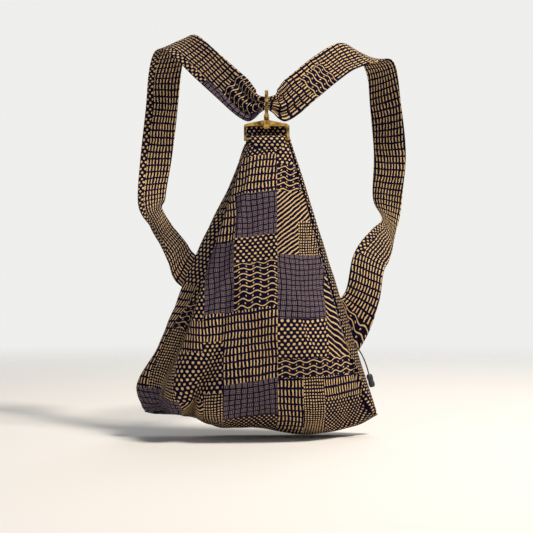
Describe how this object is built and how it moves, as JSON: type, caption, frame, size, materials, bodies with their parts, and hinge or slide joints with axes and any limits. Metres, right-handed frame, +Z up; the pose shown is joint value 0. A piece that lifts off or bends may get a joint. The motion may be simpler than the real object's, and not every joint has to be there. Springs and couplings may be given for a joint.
{
  "type": "backpack",
  "caption": "Soft triangular printed-cloth backpack, narrow at the top, with a side zip and a long shoulder strap gathered behind the neck by a brass swivel clip.",
  "frame": {"origin": "on the flat back of the bag, the side that lies on the wearer, 150 mm above the base line", "axes": "+Y out of the back towards the wearer, +Z up towards the clip, +X to the right as seen from behind the wearer"},
  "size_m": [0.3631, 0.3146, 0.4993],
  "materials": {
    "printed_cotton": "navy cotton with a cream printed patchwork",
    "strap_cotton": "navy cotton with a cream printed patchwork, folded into a band",
    "zip_tape": "grey woven tape",
    "zip_teeth": "grey nylon",
    "antique_brass": "dull antique brass",
    "pull_black": "matt black"
  },
  "bodies": {
    "bag": {"front_panel": "printed_cotton", "back_panel": "printed_cotton", "side_band": "printed_cotton", "top_tab": "printed_cotton", "zip_tape_front": "zip_tape", "zip_tape_rear": "zip_tape", "zip_teeth": "zip_teeth", "zip_bottom_stop": "antique_brass", "zip_top_stop": "antique_brass", "zip_tape_end": "zip_tape", "shoulder_strap": "strap_cotton"},
    "loop": {"clip_loop": "antique_brass"},
    "hook": {"hook_body": "antique_brass", "swivel_washer": "antique_brass", "gate_pin": "antique_brass", "gate_spring": "antique_brass"},
    "gate": {"hook_gate": "antique_brass"},
    "slider": {"zip_slider": "antique_brass"},
    "pull": {"pull_cord": "pull_black", "pull_grip": "pull_black"}
  },
  "joints": [
    {"name": "loop_tilt", "type": "hinge", "parent": "bag", "child": "loop", "pos_m": [0, -0.014, 0.207], "axis": [-1, 0, 0], "range_deg": [-1, 2.5]},
    {"name": "hook_swivel", "type": "hinge", "parent": "loop", "child": "hook", "pos_m": [0, -0.014, 0.23], "axis": [0, 0, 1], "range_deg": [-15, 15]},
    {"name": "gate_hinge", "type": "hinge", "parent": "hook", "child": "gate", "pos_m": [0, -0.024, 0.2339], "axis": [-1, 0, 0], "range_deg": [0, 20], "stiffness_Nm_per_rad": 0.03, "springref_deg": -17.19},
    {"name": "zip_slide", "type": "slide", "parent": "bag", "child": "slider", "axis": [-0.2715, 0.0954, 0.9577], "range_m": [-0.003, 0.243]},
    {"name": "pull_swing", "type": "hinge", "parent": "slider", "child": "pull", "pos_m": [0.10163, -0.03814, -0.04136], "axis": [-0.3275, -0.9449, 0.0013], "range_deg": [0, 100]}
  ]
}
